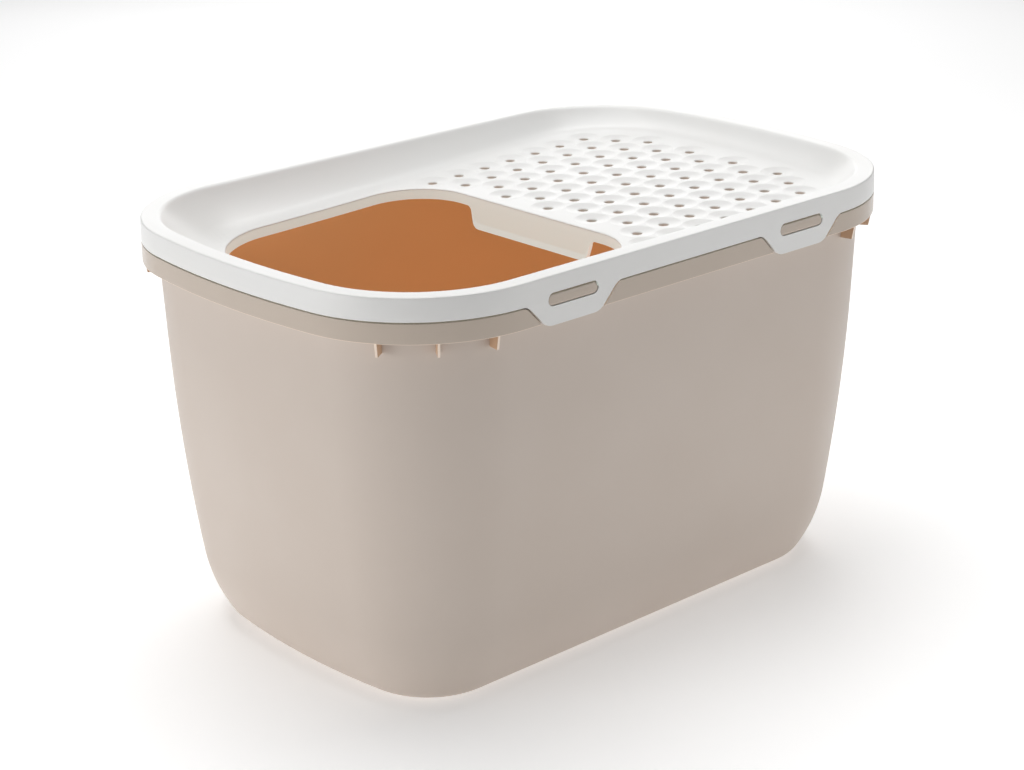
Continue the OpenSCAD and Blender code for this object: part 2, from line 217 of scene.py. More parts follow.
# The same beige inside, painted terracotta with a weak painted glow, standing in for light that has
# come through the wall and bounced about inside
TUB_INSIDE_PAINTED_GLOW = moulded_plastic(
    "beige_polypropylene_inside_painted_glow", "#efb990", "#ebb084", 0.45, 0.04, 0.3, 0.7,
    glow="#ffe6a0", light=0.095)
# The same beige in the gussets, painted a peach tone that stands in for light coming through the
# thin plastic from behind
TUB_GUSSET_PAINTED_GLOW = moulded_plastic(
    "beige_polypropylene_gusset_painted_glow", "#d8b393", "#d2aa88", 0.4, 0.03, 0.2, 0.7)
# The same beige at the thin moulded edges of the band and the gussets, lighter and with a weak
# glow: a painted highlight
TUB_EDGE_PAINTED_HIGHLIGHT = moulded_plastic(
    "beige_polypropylene_painted_highlight_edge", "#ecdccd", "#e8d6c6", 0.35, 0.03, 0.1, 0.7,
    glow="#ffe6d2", light=0.1)

# A sheet's rim takes the plastic after its faces' own: white to the one with a painted glow,
# that one to the painted highlight, and the last one stays.
LID_PLASTICS = [LID_WHITE, LID_PAINTED_GLOW, LID_EDGE_PAINTED_HIGHLIGHT, LID_HOLE_PAINTED_SHADE]
FLANGE, HOLE_WALL = 1, 3
TUB_PLASTICS = [TUB_SATIN, TUB_BAND, TUB_INSIDE_PAINTED_GLOW, TUB_GUSSET_PAINTED_GLOW, TUB_EDGE_PAINTED_HIGHLIGHT]
BAND, INSIDE, GUSSET, EDGE = 1, 2, 3, 4

# ---- Sizes shared by the pieces ----

# They are the CAD's, apart from BAND_INSET, ROLL_R, DIMPLE_DEPTH, the small bevels, the lugs and
# the apron's outline, which follow the photograph more closely inside the CAD's box.
BODY_L, BODY_W, BODY_H = 585.0, 391.0, 343.0
CORNER_R, END_BOW_R = 116.0, 700.0
HALF_L, HALF_W = BODY_L / 2, BODY_W / 2
CORNER_Y = HALF_W - CORNER_R
END_TURN = asin(CORNER_Y / (END_BOW_R - CORNER_R))
END_CX = HALF_L - END_BOW_R
CORNER_X = END_CX + (END_BOW_R - CORNER_R) * cos(END_TURN)

TUB_WALL, TUB_FLOOR = 2.5, 3.0
WALL_INSET, WALL_DRAFT = 11.8, radians(2.4)
BELLY_R, BELLY_SLOPE = 1750.0, radians(8.5)
HAUNCH_R, HAUNCH_SLOPE = 130.0, radians(33)
FOOT_R, FOOT_RING_W, FOOT_RECESS = 18.0, 12.0, 1.5
RIM_WALL, RIM_GAP, SEAM_GAP = 2.2, 0.7, 1.0
BAND_H, BAND_INSET, LIP_BEVEL = 16.5, 0.1, 1.8
GUSSET_T, GUSSET_DROP, GUSSET_TAPER, GUSSET_EDGE_R = 1.8, 11, 2, 0.3
# Where a corner's first gusset stands, and the turn from it to the last of the three
GUSSET_START, GUSSET_TURN = radians(90 - 11.25), radians(-45)

LID_WALL, SKIRT_H, SKIRT_DRAFT, RIM_EDGE_R = 2.5, 17.9, 0.6, 1.2
RIM_FLAT, DISH_EDGE_R, DISH_R, DISH_DEPTH = 13.6, 4.0, 98.0, 38.0
# The crease between the hollow side and the floor is rounded over this height
FLOOR_DROP, FLOOR_TILT, CREASE_H = 20.8, radians(1.95), 5.0
ENTRY_L, ENTRY_W, ENTRY_EDGE_X = 237.5, 274.0, 12.5
ENTRY_OUTER_R, ENTRY_INNER_R = 67.0, 52.0
ROLL_R, FLANGE_H = 1.2, 9.0
APRON_HALF, APRON_SLOPE, APRON_LOW_R, APRON_TOP_R = 61.5, radians(74), 7.5, 5.5
APRON_DROP, APRON_LIP = 18.0, 1.5
TREAD_X, HOLE_PITCH, ROW_PITCH = 124.0, 30.0, 25.7
ROWS_EACH_SIDE, HOLES_PER_ROW = 5, 7
HOLE_R, HOLE_CHAMFER, DIMPLE_R, DIMPLE_DEPTH, DIMPLE_SOFT = 4.0, 0.6, 14.5, 1.7, 0.1

LATCH_X, LATCH_DROP, LATCH_HALF = 124.0, 19.6, 20.5
LATCH_SLOPE, LATCH_LOW_R, LATCH_TOP_R, LATCH_EDGE_R = radians(47), 14.0, 12.0, 0.35
WINDOW_L, WINDOW_H = 50.0, 10.0
# Half the width of the skirt over a latch, where its lower edge stays sharp
LATCH_REACH = 50
# Gap between a latch and its pocket, and half the width of the pocket's cutter at its top
POCKET_GAP, POCKET_REACH = 1.2, 55.0
# The pocket's flanks lie between these distances from the middle of the latch
POCKET_FLANKS = (15, 54)
LUG_GAP, LUG_PROUD, LUG_SINK = 1.0, 1.8, 0.6
# Setback and rise of each step of the lug's crown, and the depths behind the rim's face where
# the thickened wall and the lug end
LUG_CROWN, BACKING_END, LUG_END = ((1.0, 0.35), (1.2, 0.12)), 1.5, 1.2

TUB_TOP = BODY_H - LID_WALL
SKIRT_Z = BODY_H - SKIRT_H
LEDGE_Z = SKIRT_Z - SEAM_GAP
BAND_LOW_Z = SKIRT_Z - BAND_H
RIM_INSET = LID_WALL + RIM_GAP

# Points closer than this are one, and edges that turn by more than this angle stay sharp
WELD, SHARP_ANGLE = 0.0005, radians(38)
# Step by which cuts and added forms keep off the planes of the rim and the band
PLANE_STEP = 0.1
# Steps round a corner of the rim, and along half of a bowed end
CORNER_STEPS, END_STEPS = 30, 5

# ---- Rings that follow the rim's plan outline ----


def outward(co):
    """Direction from a point straight out to the rim outline, in plan."""
    side_x, side_y = (1 if co.x >= 0 else -1), (1 if co.y >= 0 else -1)
    x, y = abs(co.x), abs(co.y)
    if atan2(y, x - END_CX) <= END_TURN and x > CORNER_X:
        way = Vector((x - END_CX, y, 0))
    elif x > CORNER_X:
        way = Vector((x - CORNER_X, y - CORNER_Y, 0))
    else:
        way = Vector((0, 1, 0))
    return Vector((way.x * side_x, way.y * side_y, 0)).normalized()


def setback(x, y):
    """Distance of a plan point inside the rim outline."""
    x, y = abs(x), abs(y)
    if x <= CORNER_X:
        return HALF_W - y
    if atan2(y, x - END_CX) <= END_TURN:
        return END_BOW_R - sqrt((x - END_CX) ** 2 + y ** 2)
    return CORNER_R - sqrt((x - CORNER_X) ** 2 + max(0, y - CORNER_Y) ** 2)


def only(kind, geometry):
    """The vertices or the faces in what an operator returns."""
    return [g for g in geometry if isinstance(g, kind)]


def walk(bm, last, axis, places):
    """Chain of edges from a vertex on through places along an axis. Returns its last vertex."""
    for place in places:
        last = bmesh.ops.extrude_vert_indiv(bm, verts=[last])["verts"][0]
        setattr(last.co, axis, place)
    return last


def turn(bm, last, centre, angle, steps):
    """Arc of edges from a vertex about an upright axis. Returns its last vertex."""
    spun = bmesh.ops.spin(bm, geom=[last], cent=centre, axis=UP, angle=angle, steps=steps)
    return only(bmesh.types.BMVert, spun["geom_last"])[0]


def mirror(bm, axes="XY", merge=0.0):
    """Mirrors all there is, across the middle of the box along each axis."""
    for axis in axes:
        bmesh.ops.mirror(bm, geom=bm.verts[:] + bm.edges[:] + bm.faces[:], matrix=Matrix(),
                         merge_dist=merge, axis=axis)


def rim_ring(bm, columns, inset, z):
    """Ring of edges along the outline: straight sides with these columns, round corners and
    bowed ends."""
    last = walk(bm, bm.verts.new((columns[0], -HALF_W, z)), "x", columns[1:] + [CORNER_X])
    last = turn(bm, last, (CORNER_X, -CORNER_Y, z), pi / 2 - END_TURN, CORNER_STEPS)
    last = turn(bm, last, (END_CX, 0, z), END_TURN, END_STEPS)
    last.co.y = 0
    mirror(bm, merge=WELD)
    for v in bm.verts:
        v.co -= outward(v.co) * inset
    return bm.edges[:]


def grow(bm, ring):
    """Extrudes a ring of edges on the spot and returns the new ring."""
    made = bmesh.ops.extrude_edge_only(bm, edges=ring)["geom"]
    verts = set(only(bmesh.types.BMVert, made))
    return list({e for v in verts for e in v.link_edges if e.other_vert(v) in verts})


def corners(ring):
    """The vertices of a ring of edges, each once."""
    return list({v for e in ring for v in e.verts})


def sweep(bm, ring, inset, profile):
    """Carries a ring from a setback along the (setback, height) points of a profile."""
    for next_inset, z in profile:
        ring = grow(bm, ring)
        for v in corners(ring):
            v.co -= outward(v.co) * (next_inset - inset)
            v.co.z = z
        inset = next_inset
    return ring


def arc(cp, cz, r, a0, a1, steps):
    """Side curve about a centre, from straight down (90 degrees) towards straight out (0)."""
    turns = [a0 + (a1 - a0) * i / steps for i in range(steps + 1)]
    return [(cp - r * cos(a), cz - r * sin(a)) for a in turns]


def eased(points, r):
    """Profile whose inner corners are rounded by a small radius, in two steps."""
    out = [points[0]]
    for before, here, after in zip(points, points[1:], points[2:]):
        a, b, c = Vector(before), Vector(here), Vector(after)
        cut = min(r, (a - b).length / 2.2, (c - b).length / 2.2)
        p, q = b + (a - b).normalized() * cut, b + (c - b).normalized() * cut
        out += [tuple(p), tuple((p + q) / 4 + b / 2), tuple(q)]
    return out + [points[-1]]


# ---- Shapes and steps that several pieces share ----


def tab_half(half, drop, low_r, top_r, slope, steps=8):
    """Right half of a hanging tab with S-shaped flanks, from its lower edge up to z = 0."""
    straight = (drop - (low_r + top_r) * (1 - cos(slope))) / sin(slope)
    top_x = half + (low_r + top_r) * sin(slope) + straight * cos(slope)
    low = [slope * i / steps for i in range(steps + 1)]
    return ([(half + low_r * sin(a), low_r * (1 - cos(a)) - drop) for a in low]
            + [(top_x - top_r * sin(a), top_r * (cos(a) - 1)) for a in reversed(low)])


def latch_half(gap=0.0):
    """Right half of a latch's outline, hanging lower by a gap."""
    return tab_half(LATCH_HALF, LATCH_DROP + gap, LATCH_LOW_R, LATCH_TOP_R, LATCH_SLOPE)


def apron_half():
    """Right half of the apron's outline below the flange."""
    return tab_half(APRON_HALF, APRON_DROP, APRON_LOW_R, APRON_TOP_R, APRON_SLOPE)


def both_halves(right):
    """Whole outline from its right half."""
    return right + [(-x, z) for x, z in reversed(right)]


def plate(bm, outline, y0, y1):
    """Closed plate from an outline in X and Z, between two planes along Y. Returns its front."""
    front = bm.faces.new([bm.verts.new((x, y0, z)) for x, z in outline])
    made = bmesh.ops.extrude_face_region(bm, geom=[front])["geom"]
    bmesh.ops.translate(bm, vec=(0, y1 - y0, 0), verts=only(bmesh.types.BMVert, made))
    bmesh.ops.recalc_face_normals(bm, faces=bm.faces)
    return front


def slot_outline(length, height, z, steps=10):
    """Outline in X and Z of a slot with round ends."""
    r = height / 2
    turns = [pi * i / steps - pi / 2 for i in range(steps + 1)]
    return both_halves([(length / 2 - r + r * cos(a), z + r * sin(a)) for a in turns])


def four_latches(bm):
    """Moves what was made at the middle of the front to a latch, and mirrors it to all four."""
    bmesh.ops.translate(bm, vec=(LATCH_X, 0, 0), verts=bm.verts)
    mirror(bm)
    bmesh.ops.recalc_face_normals(bm, faces=bm.faces)


def copy_in(bm, other):
    """Adds the contents of another bmesh."""
    mesh = bpy.data.meshes.new("part")
    other.to_mesh(mesh)
    bm.from_mesh(mesh)
    bpy.data.meshes.remove(mesh)


def in_metres(bm):
    """Scales a bmesh from millimetres to metres."""
    bmesh.ops.scale(bm, vec=(MM, MM, MM), verts=bm.verts)


def to_mesh(name, bm, materials):
    """Mesh with smooth faces from a bmesh, which it frees."""
    for face in bm.faces:
        face.smooth = True
    mesh = bpy.data.meshes.new(name)
    bm.to_mesh(mesh)
    bm.free()
    for material in materials:
        mesh.materials.append(material)
    return mesh


def with_modifiers(obj):
    """The object's mesh with its modifiers applied."""
    made = obj.evaluated_get(bpy.context.evaluated_depsgraph_get())
    return bpy.data.meshes.new_from_object(made)


def finish_piece(name, bm, materials, body, *nodes, wall=0, slot=None):
    """Turns a bmesh in millimetres into a finished object that rides on its body. A sheet gets
    its wall inwards."""
    in_metres(bm)
    obj = bpy.data.objects.new(name, to_mesh(name, bm, materials))
    bpy.context.scene.collection.objects.link(obj)
    if wall:
        thick = obj.modifiers.new("wall", "SOLIDIFY")
        thick.thickness = wall * MM
        thick.offset = -1
        thick.use_even_offset = True
        thick.material_offset_rim = 1
        baked = with_modifiers(obj)
        obj.modifiers.clear()
        obj.data = baked
        baked.name = name
    obj.data.set_sharp_from_angle(angle=SHARP_ANGLE)
    flat = obj.modifiers.new("even_faces", "WEIGHTED_NORMAL")
    flat.keep_sharp = True
    flat.mode = "FACE_AREA"
    flat.weight = 50
    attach(obj, body)
    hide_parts(*nodes)
    return obj


# ---- Tub ----

HAUNCH_CZ = FOOT_R + (HAUNCH_R - FOOT_R) * sin(HAUNCH_SLOPE)
BELLY_CZ = HAUNCH_CZ + (BELLY_R - HAUNCH_R) * sin(BELLY_SLOPE)
BELLY_TOP_Z = BELLY_CZ - BELLY_R * sin(WALL_DRAFT)
BELLY_CP = WALL_INSET + (TUB_TOP - BELLY_TOP_Z) * tan(WALL_DRAFT) + BELLY_R * cos(WALL_DRAFT)
HAUNCH_CP = BELLY_CP - (BELLY_R - HAUNCH_R) * cos(BELLY_SLOPE)
FOOT_CP = HAUNCH_CP - (HAUNCH_R - FOOT_R) * cos(HAUNCH_SLOPE)
# Heights of the rings in the straight upper wall: below the band, and behind it and the skirt
LOW_RINGS, HIGH_RINGS = (270.0, 300.0), (320.0, 335.0)
TUB_COLUMNS = [0.0, 60.0, 120.0]
# Rounding of the small edges at the foot ring and at the rim
FOOT_EASE, RIM_EASE = 0.4, 0.45


def wall_side(t):
    """Side of the tub moved inwards by t, from the base up to the end of its belly."""
    return (arc(FOOT_CP, FOOT_R, FOOT_R - t, pi / 2, HAUNCH_SLOPE, 10)
            + arc(HAUNCH_CP, HAUNCH_CZ, HAUNCH_R - t, HAUNCH_SLOPE, BELLY_SLOPE, 12)[1:]
            + arc(BELLY_CP, BELLY_CZ, BELLY_R - t, BELLY_SLOPE, WALL_DRAFT, 14)[1:])


def wall_point(z, t=0):
    """Point of the straight upper wall at a height, moved inwards by t."""
    return WALL_INSET + (TUB_TOP - z) * tan(WALL_DRAFT) + t / cos(WALL_DRAFT), z


def mark_tub_plastics(bm):
    """Gives the band its own plastic, its lower edge a painted highlight, and the inside with the
    floor a painted terracotta glow.
    """
    for face in bm.faces:
        centre = face.calc_center_median()
        inset = setback(centre.x, centre.y)
        on_band = centre.z > BAND_LOW_Z - 0.1 and inset < RIM_INSET + 0.2
        at_edge = centre.z < BAND_LOW_Z + 0.5 and inset < BAND_INSET + 1 and face.normal.z < -0.1
        on_floor = face.normal.z > 0.5 and centre.z < BODY_H / 2
        faces_in = inset > WALL_INSET + 1.5 and face.normal.dot(outward(centre)) < -0.02
        if on_band:
            # The band's lower edge takes the lighter plastic: a painted highlight
            face.material_index = EDGE if at_edge else BAND
        elif on_floor or (faces_in and FOOT_RECESS + 0.5 < centre.z < TUB_TOP - 0.3):
            # Inside and floor take the terracotta with a painted glow
            face.material_index = INSIDE


def tub_shell():
    """The moulding in one closed sweep: foot ring, wall, hanging rim and band, lip, inner wall,
    floor."""
    bm = bmesh.new()
    ring_in = FOOT_CP + FOOT_RING_W
    band_in = BAND_INSET + RIM_WALL
    rim_in = RIM_INSET + RIM_WALL
    under_top = TUB_TOP - RIM_WALL
    under_ledge = LEDGE_Z - RIM_WALL
    foot = eased([(ring_in, FOOT_RECESS), (ring_in, 0.0), (FOOT_CP, 0.0)], FOOT_EASE)[1:]
    outside = foot + wall_side(0)[1:] + [wall_point(z) for z in LOW_RINGS + HIGH_RINGS]
    rim = eased([
        wall_point(HIGH_RINGS[1]), wall_point(under_top), (rim_in, under_top),
        (rim_in, under_ledge), (band_in, under_ledge), (band_in, BAND_LOW_Z),
        (BAND_INSET, BAND_LOW_Z), (BAND_INSET, LEDGE_Z), (RIM_INSET, LEDGE_Z),
        (RIM_INSET, TUB_TOP), (WALL_INSET + TUB_WALL - LIP_BEVEL, TUB_TOP),
        wall_point(TUB_TOP - LIP_BEVEL, TUB_WALL), wall_point(HIGH_RINGS[0], TUB_WALL)],
        RIM_EASE)[1:]
    inside = [wall_point(z, TUB_WALL) for z in reversed(LOW_RINGS)] + wall_side(TUB_WALL)[::-1]
    inside = [p for p in inside if p[1] > TUB_FLOOR + 0.05]
    floor_in = FOOT_CP - sqrt((FOOT_R - TUB_WALL) ** 2 - (FOOT_R - TUB_FLOOR) ** 2)

    ring = rim_ring(bm, TUB_COLUMNS, ring_in, FOOT_RECESS)
    bmesh.ops.edgeloop_fill(bm, edges=ring)
    last = sweep(bm, ring, ring_in, outside + rim + inside + [(floor_in, TUB_FLOOR)])
    bmesh.ops.edgeloop_fill(bm, edges=last)
    bmesh.ops.remove_doubles(bm, verts=bm.verts, dist=WELD)
    bmesh.ops.recalc_face_normals(bm, faces=bm.faces)
    mark_tub_plastics(bm)
    return bm


def gusset_plates(bm):
    """Three tapered gussets under the band at each corner, spun round the corner and mirrored."""
    outer = CORNER_R - BAND_INSET - RIM_WALL / 2
    inner = CORNER_R - WALL_INSET - TUB_WALL / 2 - 1
    low, top = BAND_LOW_Z - GUSSET_DROP, LEDGE_Z - RIM_WALL / 2
    outline = [(inner, low), (outer - GUSSET_TAPER, low), (outer, BAND_LOW_Z), (outer, top),
               (inner, top)]
    plate(bm, outline, -GUSSET_T / 2, GUSSET_T / 2)
    seen = [e for e in bm.edges
            if all(v.co.z < BAND_LOW_Z + 1 and v.co.x > inner + 1 for v in e.verts)]
    bmesh.ops.bevel(bm, geom=seen, offset=GUSSET_EDGE_R, affect="EDGES", segments=2, profile=0.5,
                    material=-1)
    bmesh.ops.translate(bm, vec=(CORNER_X, CORNER_Y, 0), verts=bm.verts)
    centre = (CORNER_X, CORNER_Y, 0)
    bmesh.ops.rotate(bm, verts=bm.verts, cent=centre,
                     matrix=Matrix.Rotation(GUSSET_START, 3, "Z"))
    bmesh.ops.spin(bm, geom=bm.verts[:] + bm.edges[:] + bm.faces[:], cent=centre, axis=UP,
                   angle=GUSSET_TURN, steps=2, use_duplicate=True)
    mirror(bm)
    bmesh.ops.recalc_face_normals(bm, faces=bm.faces)
    # Gusset faces get the peach painted glow, and faces turned outwards a painted highlight
    for face in bm.faces:
        faces_out = face.normal.dot(outward(face.calc_center_median())) > 0.3
        face.material_index = EDGE if faces_out else GUSSET


def lugs_and_backing(bm):
    """The lug in each window, slightly crowned, on the thickened wall behind the latch."""
    back_y = -HALF_W + RIM_INSET
    half = latch_half()[-1][0] + POCKET_GAP + RIM_WALL
    low, top = BAND_LOW_Z + PLANE_STEP, LEDGE_Z - 0.4
    plate(bm, [(-half, low), (half, low), (half, top), (-half, top)], back_y + PLANE_STEP,
          back_y + BACKING_END)
    lug = slot_outline(WINDOW_L - 1.2 * LUG_GAP, WINDOW_H - 2 * LUG_GAP, SKIRT_Z - LUG_SINK)
    face = plate(bm, lug, -HALF_W + LID_WALL - LUG_PROUD, back_y + LUG_END)
    for width, forward in LUG_CROWN:
        bmesh.ops.inset_region(bm, faces=[face], thickness=width)
        bmesh.ops.translate(bm, vec=(0, -forward, 0), verts=face.verts)
    four_latches(bm)
    for f in bm.faces:
        f.material_index = BAND


def pocket_cutter():
    """What is cut out of the band round each latch."""
    bm = bmesh.new()
    right = [(x + POCKET_GAP, z + SKIRT_Z) for x, z in latch_half(POCKET_GAP)]
    right += [(POCKET_REACH, SKIRT_Z + 0.01)]
    plate(bm, both_halves(right), -HALF_W - 1, -HALF_W + RIM_INSET + PLANE_STEP)
    four_latches(bm)
    in_metres(bm)
    mesh = bpy.data.meshes.new("pocket_cutter")
    bm.to_mesh(mesh)
    bm.free()
    return bpy.data.objects.new("pocket_cutter", mesh)


def cut_pockets(obj):
    """The tub's shape after the pockets are cut, as a bmesh whose pocket flanks get a painted
    highlight.
    """
    cutter = pocket_cutter()
    bpy.context.scene.collection.objects.link(cutter)
    cut = obj.modifiers.new("pockets", "BOOLEAN")
    cut.object = cutter
    cut.operation = "DIFFERENCE"
    cut.solver = "EXACT"
    obj.modifiers["even_faces"].show_viewport = False
    carved = with_modifiers(obj)
    obj.modifiers["even_faces"].show_viewport = True
    obj.modifiers.remove(cut)
    bpy.data.objects.remove(cutter)
    bm = bmesh.new()
    bm.from_mesh(carved)
    # The pocket's flanks on the band get the lighter plastic with a painted highlight
    for face in bm.faces:
        centre = face.calc_center_median() / MM
        if (abs(face.normal.y) < 0.3 and abs(centre.y) > HALF_W - BAND_INSET - RIM_WALL - 0.3
                and BAND_LOW_Z + 0.5 < centre.z < LEDGE_Z
                and POCKET_FLANKS[0] < abs(abs(centre.x) - LATCH_X) < POCKET_FLANKS[1]):
            face.material_index = EDGE
    return bm


def make_tub():
    """The tub: its shell with the pockets cut out, and the gussets and lugs moulded on."""
    obj = finish_piece("tub_moulding", tub_shell(), TUB_PLASTICS, "tub", "tub",
                       slot="tub_plastic")
    bm = cut_pockets(obj)
    for make in (gusset_plates, lugs_and_backing):
        extra = bmesh.new()
        make(extra)
        in_metres(extra)
        copy_in(bm, extra)
        extra.free()
    mesh = to_mesh("tub_moulding_carved", bm, TUB_PLASTICS)
    mesh.set_sharp_from_angle(angle=SHARP_ANGLE)
    obj.data = mesh


# ---- Lid ----

DISH_TURN = acos(1 - DISH_DEPTH / (DISH_R + DISH_EDGE_R))
DISH_CP = RIM_FLAT + (DISH_R + DISH_EDGE_R) * sin(DISH_TURN)
# Centres of the entry opening's corners: at the tread and at the entry end
TREAD_CX, TREAD_CY = ENTRY_EDGE_X - ENTRY_INNER_R, ENTRY_W / 2 - ENTRY_INNER_R
FAR_CX, FAR_CY = ENTRY_EDGE_X - ENTRY_L + ENTRY_OUTER_R, ENTRY_W / 2 - ENTRY_OUTER_R
# Steps round those corners, and along each long side between them
TREAD_STEPS, FAR_STEPS, SIDE_STEPS = 22, 26, 10
# Points along half of the opening's two short sides, besides those of the apron
TREAD_ROWS, FAR_ROWS = [20.0, 40.0], [52.0, 35.0, 17.0, 0.0]
# Steps of the opening's rolled edge and of the rim's rounded edge
ROLL_STEPS, RIM_STEPS = 6, 7
# Rings of the flange and the apron: share of the way down, and share of the apron's lip
FLANGE_RINGS = ((0.4, 0), (0.79, 0), (0.83, 0.1), (1.0, 0.9))


def blend_up(a, b, k):
    """The higher of two surfaces, with the crease between them rounded over a height of k."""
    h = max(k - abs(a - b), 0) / k
    return max(a, b) + h * h * k / 4


def dish_height(x, y):
    """Top surface of the lid inside its rim: the hollow side running into the tilted floor."""
    p = setback(x, y)
    if p < RIM_FLAT + DISH_EDGE_R * sin(DISH_TURN):
        s = max(p - RIM_FLAT, 0) / DISH_EDGE_R
        side = DISH_EDGE_R * (sqrt(1 - s * s) - 1)
    else:
        s = max(DISH_CP - p, 0) / DISH_R
        side = DISH_R - DISH_DEPTH - DISH_R * sqrt(1 - s * s)
    floor = -FLOOR_DROP + (x - TREAD_X) * tan(FLOOR_TILT)
    return BODY_H + blend_up(side, floor, CREASE_H)


def dimple_height(r):
    """Depth of the hollow dimple at a distance from its hole, with a soft edge."""
    ball_r = (DIMPLE_R ** 2 + DIMPLE_DEPTH ** 2) / (2 * DIMPLE_DEPTH)
    cap = ball_r - DIMPLE_DEPTH - sqrt(ball_r ** 2 - r ** 2)
    return -blend_up(-cap, 0, DIMPLE_SOFT)


def from_entry(co):
    """Direction straight out from the entry opening's edge, in plan."""
    side_y, y = (1 if co.y >= 0 else -1), abs(co.y)
    if co.x > TREAD_CX:
        way = Vector((1, 0, 0)) if y <= TREAD_CY else Vector((co.x - TREAD_CX, y - TREAD_CY, 0))
    elif co.x < FAR_CX:
        way = Vector((-1, 0, 0)) if y <= FAR_CY else Vector((co.x - FAR_CX, y - FAR_CY, 0))
    else:
        way = Vector((0, 1, 0))
    return Vector((way.x, way.y * side_y, 0)).normalized()


def apron_fall(y):
    """How far the apron hangs below the flange at a distance from the middle."""
    flank = apron_half()
    y = abs(y)
    if y <= flank[0][0]:
        return APRON_DROP
    for (y0, z0), (y1, z1) in zip(flank, flank[1:]):
        if y <= y1:
            return -(z0 + (z1 - z0) * (y - y0) / max(y1 - y0, 1e-6))
    return 0.0


def entry_loop(bm):
    """Loop of edges where the roll of the entry opening begins."""
    last = bm.verts.new((ENTRY_EDGE_X + ROLL_R, 0, 0))
    last = walk(bm, last, "y", TREAD_ROWS + [y for y, z in apron_half()] + [TREAD_CY])
    last = turn(bm, last, (TREAD_CX, TREAD_CY, 0), pi / 2, TREAD_STEPS)
    last = walk(bm, last, "x", [TREAD_CX + (FAR_CX - TREAD_CX) * i / SIDE_STEPS
                                for i in range(1, SIDE_STEPS + 1)])
    last = turn(bm, last, (FAR_CX, FAR_CY, 0), pi / 2, FAR_STEPS)
    walk(bm, last, "y", FAR_ROWS)
    mirror(bm, "Y", WELD)


def hole_places():
    """Centres of the holes in staggered rows. The two outermost rows start one pitch earlier."""
    for j in range(-ROWS_EACH_SIDE, ROWS_EACH_SIDE + 1):
        first = 2 - HOLES_PER_ROW
        if j % 2 == 0:
            first = 1 - HOLES_PER_ROW
        elif abs(j) == ROWS_EACH_SIDE:
            first = -HOLES_PER_ROW
        for i in range(HOLES_PER_ROW):
            yield TREAD_X + (first / 2 + i) * HOLE_PITCH, j * ROW_PITCH


HOLES = list(hole_places())
# Sides of a hole, the radius of the disc round it, and the radii of the disc's rings
HOLE_SIDES, DISC_R = 24, 14.7
DISC_RINGS = (5.4, 6.8, 8.8, 10.8, 12.4, 13.6, 14.15, 14.5, DISC_R)


def from_hole(v):
    """Distance of a vertex from the nearest hole's centre, in plan."""
    return min(sqrt((v.co.x - x) ** 2 + (v.co.y - y) ** 2) for x, y in HOLES)


def dimple_disc():
    """A hole's wall, its chamfer and the rings of its dimple, flat, with each ring's depth on a
    layer."""
    bm = bmesh.new()
    depth = bm.verts.layers.float.new("depth")
    # The wall's lower ring lies a hair inside its upper one, because the skin is made in plan
    r = HOLE_R - 0.05
    bmesh.ops.create_circle(bm, segments=HOLE_SIDES, radius=r)
    for v in bm.verts:
        v[depth] = dimple_height(r) - LID_WALL - 0.1
    ring = bm.edges[:]
    rings = [(HOLE_R, HOLE_CHAMFER), (HOLE_R + 1.1 * HOLE_CHAMFER, 0)]
    for wide, down in rings + [(wide, 0) for wide in DISC_RINGS]:
        ring = grow(bm, ring)
        for v in corners(ring):
            v.co *= wide / r
            v[depth] = dimple_height(wide) - down
        r = wide
    # The hole's wall gets the darker white: painted shade with a weak painted glow
    for face in bm.faces:
        if max(v.co.length for v in face.verts) < HOLE_R + 0.01:
            face.material_index = HOLE_WALL
    return bm


# Columns of the straight sides, close together round the ends of the latches' windows
WINDOW_R = WINDOW_H / 2
WINDOW_TURNS = [pi / 2 * i / 6 for i in range(7)]
WINDOW_END = [WINDOW_L / 2 - WINDOW_R * (1 - cos(a)) for a in WINDOW_TURNS]
LID_COLUMNS = ([0.0, 20.0, 40.0, 60.0, 70.0, LATCH_X - LATCH_REACH - 0.1, 80.0, 88.0]
               + [LATCH_X - w for w in WINDOW_END] + [LATCH_X - 10, LATCH_X, LATCH_X + 10]
               + [LATCH_X + w for w in reversed(WINDOW_END)] + [160.0, 168.0])
# Setbacks of the rings that carry the rim over the rounded edge and down the hollow side
SIDE_RINGS = (14.2, 15.0, 15.9, 16.8, 18.3, 20.5, 23.0, 26.0, 29.0, 31.5, 34.0, 36.5, 39.0, 41.0,
              43.0)
# Setbacks of the rings on the flat rim, and heights of the skirt's rings below its rounded edge
RIM_RINGS, SKIRT_RINGS = (11.6, 8.6, 5.6), (337.5, 335.0, 332.5, 331.0)
# The skirt's draft runs out towards its lower edge by this power of the height
SKIRT_CURVE = 1.7
# The skirt's lower edge in three rings: height over it, and setback
SKIRT_FOOT = ((0.4, 0.0), (0.12, 0.1), (0.0, 0.4))
# Start and end of the grid of cuts in the floor along X and Y, and its pitch
GRID_X, GRID_Y, GRID_PITCH = (-246.0, 252.0), (-150.0, 151.0), 6.0


def skirt_edge(co):
    """Height of the skirt's lower edge, raised over the windows, and how much of it is rounded."""
    off = abs(abs(co.x) - LATCH_X)
    if abs(co.x) > CORNER_X + 0.3 or off >= LATCH_REACH:
        return SKIRT_Z, 1.0
    if off >= WINDOW_L / 2 - 0.01:
        return SKIRT_Z, 0.0
    reach = off - (WINDOW_L / 2 - WINDOW_R)
    rise = WINDOW_R if reach <= 0 else sqrt(max(WINDOW_R ** 2 - reach ** 2, 0))
    return SKIRT_Z + rise, 0.8 * rise / WINDOW_R


def plan_key(edge):
    """An edge's ends in plan, by which it is known after other meshes have been copied in."""
    return frozenset(v.co.to_2d().to_tuple(3) for v in edge.verts)


